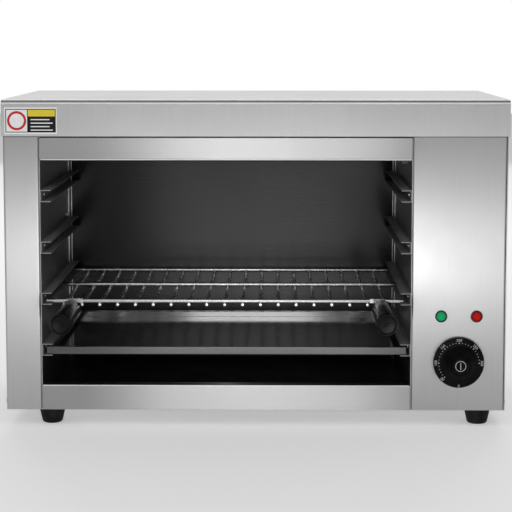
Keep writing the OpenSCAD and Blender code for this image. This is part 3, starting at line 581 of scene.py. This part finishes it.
def make_lenses():
    """Domed lenses of the two indicator lamps."""
    for color in ("green", "red"):
        low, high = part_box(color + "_lens")
        axis = (low + high) / 2
        r, depth = (high.z - low.z) / 2, high.y - low.y
        place = frame_along(Vector((axis.x, high.y, axis.z)), Vector((axis.x, low.y, axis.z)))
        bm = bmesh.new()
        lathe(bm, dome_profile(r, depth), place, 64)
        name = color + "_lamp_dome"
        piece = add_object(name, finish_mesh(bm, name), color, "casing")
        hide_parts(color + "_lens")


# ---- feet ----

def make_feet():
    """Tapered rubber feet with a straight band at the top and a screw well underneath."""
    bolt_r, well_r, well, band = 2.1 * MM, 5 * MM, 8 * MM, 6 * MM
    for i in range(1, 5):
        low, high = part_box("foot_%d" % i)
        axis = (low + high) / 2
        r, h = (high.x - low.x) / 2, high.z
        tip = r * 0.76
        profile = rounded([
            (bolt_r, h), (r, h), (r, h - band), (tip + 0.6 * MM, 2 * MM),
            (tip - 1.6 * MM, 0), (well_r, 0), (well_r, well), (bolt_r, well)], 0.9 * MM, 6)
        bm = bmesh.new()
        lathe(bm, profile + [(bolt_r, h)], Matrix.Translation((axis.x, axis.y, 0)), 56)
        bmesh.ops.remove_doubles(bm, verts=bm.verts, dist=WELD)
        name = "rubber_foot_%d" % i
        foot = add_object(name, finish_mesh(bm, name), "rubber", "casing")
        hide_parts("foot_%d" % i)


# ---- sticker ----

def make_sticker_ring(middle, inner, outer):
    """Flat red ring in the XZ plane."""
    sides = 48
    bm = bmesh.new()
    turns = [2 * math.pi * k / sides for k in range(sides)]
    rims = [[bm.verts.new(middle + r * Vector((math.cos(a), 0, math.sin(a)))) for a in turns]
            for r in (inner, outer)]
    for k in range(sides):
        n = (k + 1) % sides
        bm.faces.new([rims[0][k], rims[1][k], rims[1][n], rims[0][n]])
    add_object("sticker_ring", finish_mesh(bm, "sticker_ring"), "film_red", "casing", False)


def make_sticker():
    """Wordless film: a pale field with a red ring, a yellow band and a dark block with rules.

    The places on it are shares of its width and height, and the layers lie 0.02 mm apart.
    """
    low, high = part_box("front_sticker")
    face, width, height = low.y, high.x - low.x, high.z - low.z
    layer = 0.02 * MM

    def tile(name, material, x0, x1, z0, z1, level):
        bm = bmesh.new()
        corners = [(x0, z0), (x1, z0), (x1, z1), (x0, z1)]
        y = face - level * layer
        verts = [bm.verts.new((low.x + x * width, y, low.z + z * height)) for x, z in corners]
        bm.faces.new(verts)
        add_object(name, finish_mesh(bm, name), material, "casing", False)

    tile("sticker_frame", "film_black", 0.02, 0.98, 0.06, 0.94, 1)
    tile("sticker_field", "film", 0.035, 0.435, 0.09, 0.91, 2)
    tile("sticker_yellow", "film_yellow", 0.45, 0.965, 0.66, 0.91, 2)
    rule, spacing, shorter = 0.04, 0.13, 0.06
    for i in range(4):
        z = 0.13 + i * spacing
        tile("sticker_rule_%d" % i, "film", 0.50, 0.92 - shorter * (i % 2), z, z + rule, 2)
    middle = Vector((low.x + 0.235 * width, face - 3 * layer, low.z + 0.5 * height))
    make_sticker_ring(middle, 0.27 * height, 0.36 * height)


# ---- tray ----

def slab(bm, low, high, edge=0.3 * MM):
    """Sheet between two corners, with its edges broken so that they catch the light."""
    size = high - low
    most = min(size) * 0.4
    place = Matrix.Translation((low + high) / 2) @ Matrix.Diagonal((*size, 1))
    made = bmesh.ops.create_cube(bm, size=1.0, matrix=place)
    edges = list(dict.fromkeys(e for vert in made["verts"] for e in vert.link_edges))
    bmesh.ops.bevel(bm, geom=edges, offset=min(edge, most), segments=2, profile=0.5,
                    affect="EDGES")


def make_tray():
    """Polished pan with rolled rims on three sides, and a doubled satin lip across the front."""
    low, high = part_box("drip_tray")
    sheet, lip, roll = 1.0 * MM, 2.0 * MM, 0.8 * MM
    top = high.z - roll
    pan = bmesh.new()
    slab(pan, Vector((low.x, low.y + lip, low.z)), Vector((high.x, high.y, low.z + sheet)))
    slab(pan, Vector((low.x, low.y + lip, low.z)), Vector((low.x + sheet, high.y, top)))
    slab(pan, Vector((high.x - sheet, low.y + lip, low.z)), Vector((high.x, high.y, top)))
    slab(pan, Vector((low.x, high.y - sheet, low.z)), Vector((high.x, high.y, top)))
    left, right, back = low.x + roll, high.x - roll, high.y - roll
    corners = [Vector((left, low.y + lip, top)), Vector((left, back, top)),
               Vector((right, back, top)), Vector((right, low.y + lip, top))]
    for start, end in zip(corners, corners[1:]):
        rod(pan, start, end, roll, roll * 0.5, 16)
    piece = add_object("tray_pan", finish_mesh(pan, "tray_pan"), "tray", "tray",
                       False)
    front = bmesh.new()
    slab(front, low, Vector((high.x, low.y + lip, high.z)), 0.6 * MM)
    add_object("tray_lip", finish_mesh(front, "tray_lip"), "lip", "tray", False)
    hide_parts("drip_tray")


# ---- folded edges ----

def make_folds():
    """Rounded folds along the lower edge of the header and the upper edge of the bottom rail."""
    roll = 0.8 * MM
    bm = bmesh.new()
    for name, upper in (("header_panel", False), ("bottom_rail", True)):
        low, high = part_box(name)
        z = high.z - roll if upper else low.z + roll
        start = Vector((low.x + roll, low.y + roll, z))
        end = Vector((high.x - roll, low.y + roll, z))
        rod(bm, start, end, roll, roll, 20)
    # the bright bead finish paints a highlight along both folds
    add_object("sheet_folds", finish_mesh(bm, "sheet_folds"), "bead", "casing")


def make_seam_shadow_strip():
    """Near-black strip under the front of the top cover: a painted shadow that stands in for the
    shade in the seam.
    """
    cover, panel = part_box("top_cover"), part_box("control_panel")
    inset, height, proud = 2 * MM, 0.9 * MM, 0.15 * MM
    top = cover[0].z
    bm = bmesh.new()
    slab(bm, Vector((cover[0].x + inset, panel[0].y - proud, top - height)),
         Vector((cover[1].x - inset, panel[0].y, top)), 0.05 * MM)
    # the dark plastic finish on this strip paints the shadow in the seam
    add_object("cover_seam_shadow", finish_mesh(bm, "cover_seam_shadow"), "gland", "casing", False)


# ---- cavity corners ----

def make_beads():
    """Rolled edges of the wall and back sheets, side by side in the two back corners."""
    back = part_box("back_liner")[0].y
    bottom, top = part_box("floor_liner")[1].z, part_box("ceiling_reflector")[0].z
    roll = 0.75 * MM
    wall_bead, back_bead = (0.3 * MM, 16 * MM), (2.2 * MM, 0.3 * MM)     # from wall, from back
    profile = rounded([(0, 0), (roll, 0), (roll, top - bottom), (0, top - bottom)], roll)
    bm = bmesh.new()
    for wall, inward in ((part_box("left_liner")[1].x, 1), (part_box("right_liner")[0].x, -1)):
        for from_wall, from_back in (wall_bead, back_bead):
            place = Matrix.Translation((wall + inward * from_wall, back - from_back, bottom))
            lathe(bm, profile, place, 16)
    # the bright bead finish paints a highlight down the corner edges
    add_object("corner_beads", finish_mesh(bm, "corner_beads"), "bead", "casing")


# ---- screws ----

def connected(start, seen):
    """Places of all vertices joined by edges to start, which are added to seen."""
    seen.add(start)
    places, queue = [], [start]
    while queue:
        vert = queue.pop()
        places.append(vert.co.copy())
        for edge in vert.link_edges:
            other = edge.other_vert(vert)
            if other not in seen:
                seen.add(other)
                queue.append(other)
    return places


def islands(node_name):
    """Low and high corners of each loose part of a CAD node."""
    bm = bmesh.new()
    bm.from_mesh(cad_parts[node_name].data)
    bmesh.ops.remove_doubles(bm, verts=bm.verts, dist=WELD)
    seen, boxes = set(), []
    for start in bm.verts:
        if start in seen:
            continue
        group = connected(start, seen)
        low = Vector(min(c[i] for c in group) for i in range(3))
        high = Vector(max(c[i] for c in group) for i in range(3))
        boxes.append((low, high))
    bm.free()
    return boxes


def cross_recess(bm, place, inner, h, floor_r, depth, segments):
    """Flat top of a screw head with a cross-shaped recess that narrows to a small floor."""
    rim, cross, floor = [], [], []
    for k in range(segments):
        a = 2 * math.pi * k / segments
        arm = abs(math.cos(2 * a)) ** 3
        reach = inner * (0.34 + 0.6 * arm)
        for ring, radius, height in ((rim, inner, h), (cross, reach, h), (floor, floor_r, h - depth)):
            ring.append(place @ Vector((radius * math.cos(a), radius * math.sin(a), height)))
    rim, cross, floor = [[bm.verts.new(c) for c in ring] for ring in (rim, cross, floor)]
    for k in range(segments):
        n = (k + 1) % segments
        bm.faces.new([rim[k], rim[n], cross[n], cross[k]])
        bm.faces.new([cross[k], cross[n], floor[n], floor[k]])
    bm.faces.new(floor)


def pan_head(bm, place, r, h):
    """Low pan head with a cross-shaped recess in its top."""
    segments, inner = 48, r * 0.62
    dome = [(0.0, 0.0), (r, 0.0), (r, h * 0.35), (r * 0.93, h * 0.7), (r * 0.8, h * 0.92), (inner, h)]
    lathe(bm, dome, place, segments)
    cross_recess(bm, place, inner, h, r * 0.2, h * 0.45, segments)


def make_screws():
    """Cross-recessed heads on the sides and the back of the casing."""
    bm = bmesh.new()
    for low, high in islands("casing_screws"):
        size, spot = high - low, (low + high) / 2
        if size.x < size.y:
            outward = Vector((1 if spot.x > 0 else -1, 0, 0))
            start = Vector((low.x if spot.x > 0 else high.x, spot.y, spot.z))
            thick, r = size.x, size.y / 2
        else:
            outward = Vector((0, 1, 0))
            start = Vector((spot.x, low.y, spot.z))
            thick, r = size.y, size.x / 2
        pan_head(bm, frame_along(start, start + outward), r, thick)
    bmesh.ops.remove_doubles(bm, verts=bm.verts, dist=WELD)
    heads = add_object("screw_heads", finish_mesh(bm, "screw_heads"), "screw", "casing")
    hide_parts("casing_screws")


make_tray()
make_folds()
make_seam_shadow_strip()
make_beads()
make_screws()
make_rack()
make_grips()
make_knob()
make_lenses()
make_feet()
make_sticker()


# ---- studio ----

def make_floor():
    """Plain pale floor with a slight glow of its own, which keeps its shadows faint."""
    bpy.ops.mesh.primitive_plane_add(size=14, location=(0, 1.0, 0))
    floor = bpy.context.object
    floor.name = "studio_floor"
    m = Maker("studio_floor")
    m.put(Roughness=0.9, Specular_IOR_Level=0.2)
    m.put(Base_Color=(0.95, 0.95, 0.95, 1))
    m.put(Emission_Color=(1, 1, 1, 1), Emission_Strength=0.3)
    floor.data.materials.append(m.mat)


def softbox(name, place, aim, size, power):
    """Rectangular area light at place, turned toward aim."""
    data = bpy.data.lights.new(name, "AREA")
    data.shape = "RECTANGLE"
    data.size, data.size_y = size
    data.energy = power
    lamp = bpy.data.objects.new(name, data)
    lamp.location = place
    lamp.rotation_euler = (Vector(aim) - Vector(place)).to_track_quat("-Z", "Y").to_euler()
    scene.collection.objects.link(lamp)


def make_world():
    """Soft even surroundings; the part that only the camera sees is plain white."""
    white = (1, 1, 1, 1)
    world = bpy.data.worlds.new("studio")
    world.use_nodes = True
    tree = world.node_tree
    tree.nodes.clear()
    surroundings = tree.nodes.new("ShaderNodeBackground")
    surroundings.inputs["Color"].default_value = white
    surroundings.inputs["Strength"].default_value = 0.25
    backdrop = tree.nodes.new("ShaderNodeBackground")
    backdrop.inputs["Color"].default_value = white
    path = tree.nodes.new("ShaderNodeLightPath")
    mix = tree.nodes.new("ShaderNodeMixShader")
    out = tree.nodes.new("ShaderNodeOutputWorld")
    tree.links.new(path.outputs["Is Camera Ray"], mix.inputs[0])
    tree.links.new(surroundings.outputs[0], mix.inputs[1])
    tree.links.new(backdrop.outputs[0], mix.inputs[2])
    tree.links.new(mix.outputs[0], out.inputs["Surface"])
    scene.world = world


def make_light():
    """Panels over the back and over the front leave a dark gap overhead, which darkens the bend."""
    softbox("rear_top", (0.0, 2.3, 2.3), aim=(0, 0.3, 0.2), size=(2.8, 1.2), power=26)
    softbox("front_top", (0.0, -3.0, 2.6), aim=(0, -0.4, 0.0), size=(3.6, 2.2), power=30)
    softbox("behind", (0.0, 4.0, 1.0), aim=(0, 0, 0.4), size=(4.0, 1.4), power=13)
    softbox("tall_front", (-0.05, -3.2, 1.3), aim=(0.0, 0, 0.25), size=(0.45, 1.5), power=6.5)
    softbox("low_front", (0.0, -1.33, 0.055), aim=(0.0, 0, 0.1), size=(0.5, 0.1), power=2.0)


make_floor()
make_world()
make_light()
scene.view_settings.view_transform = "Standard"
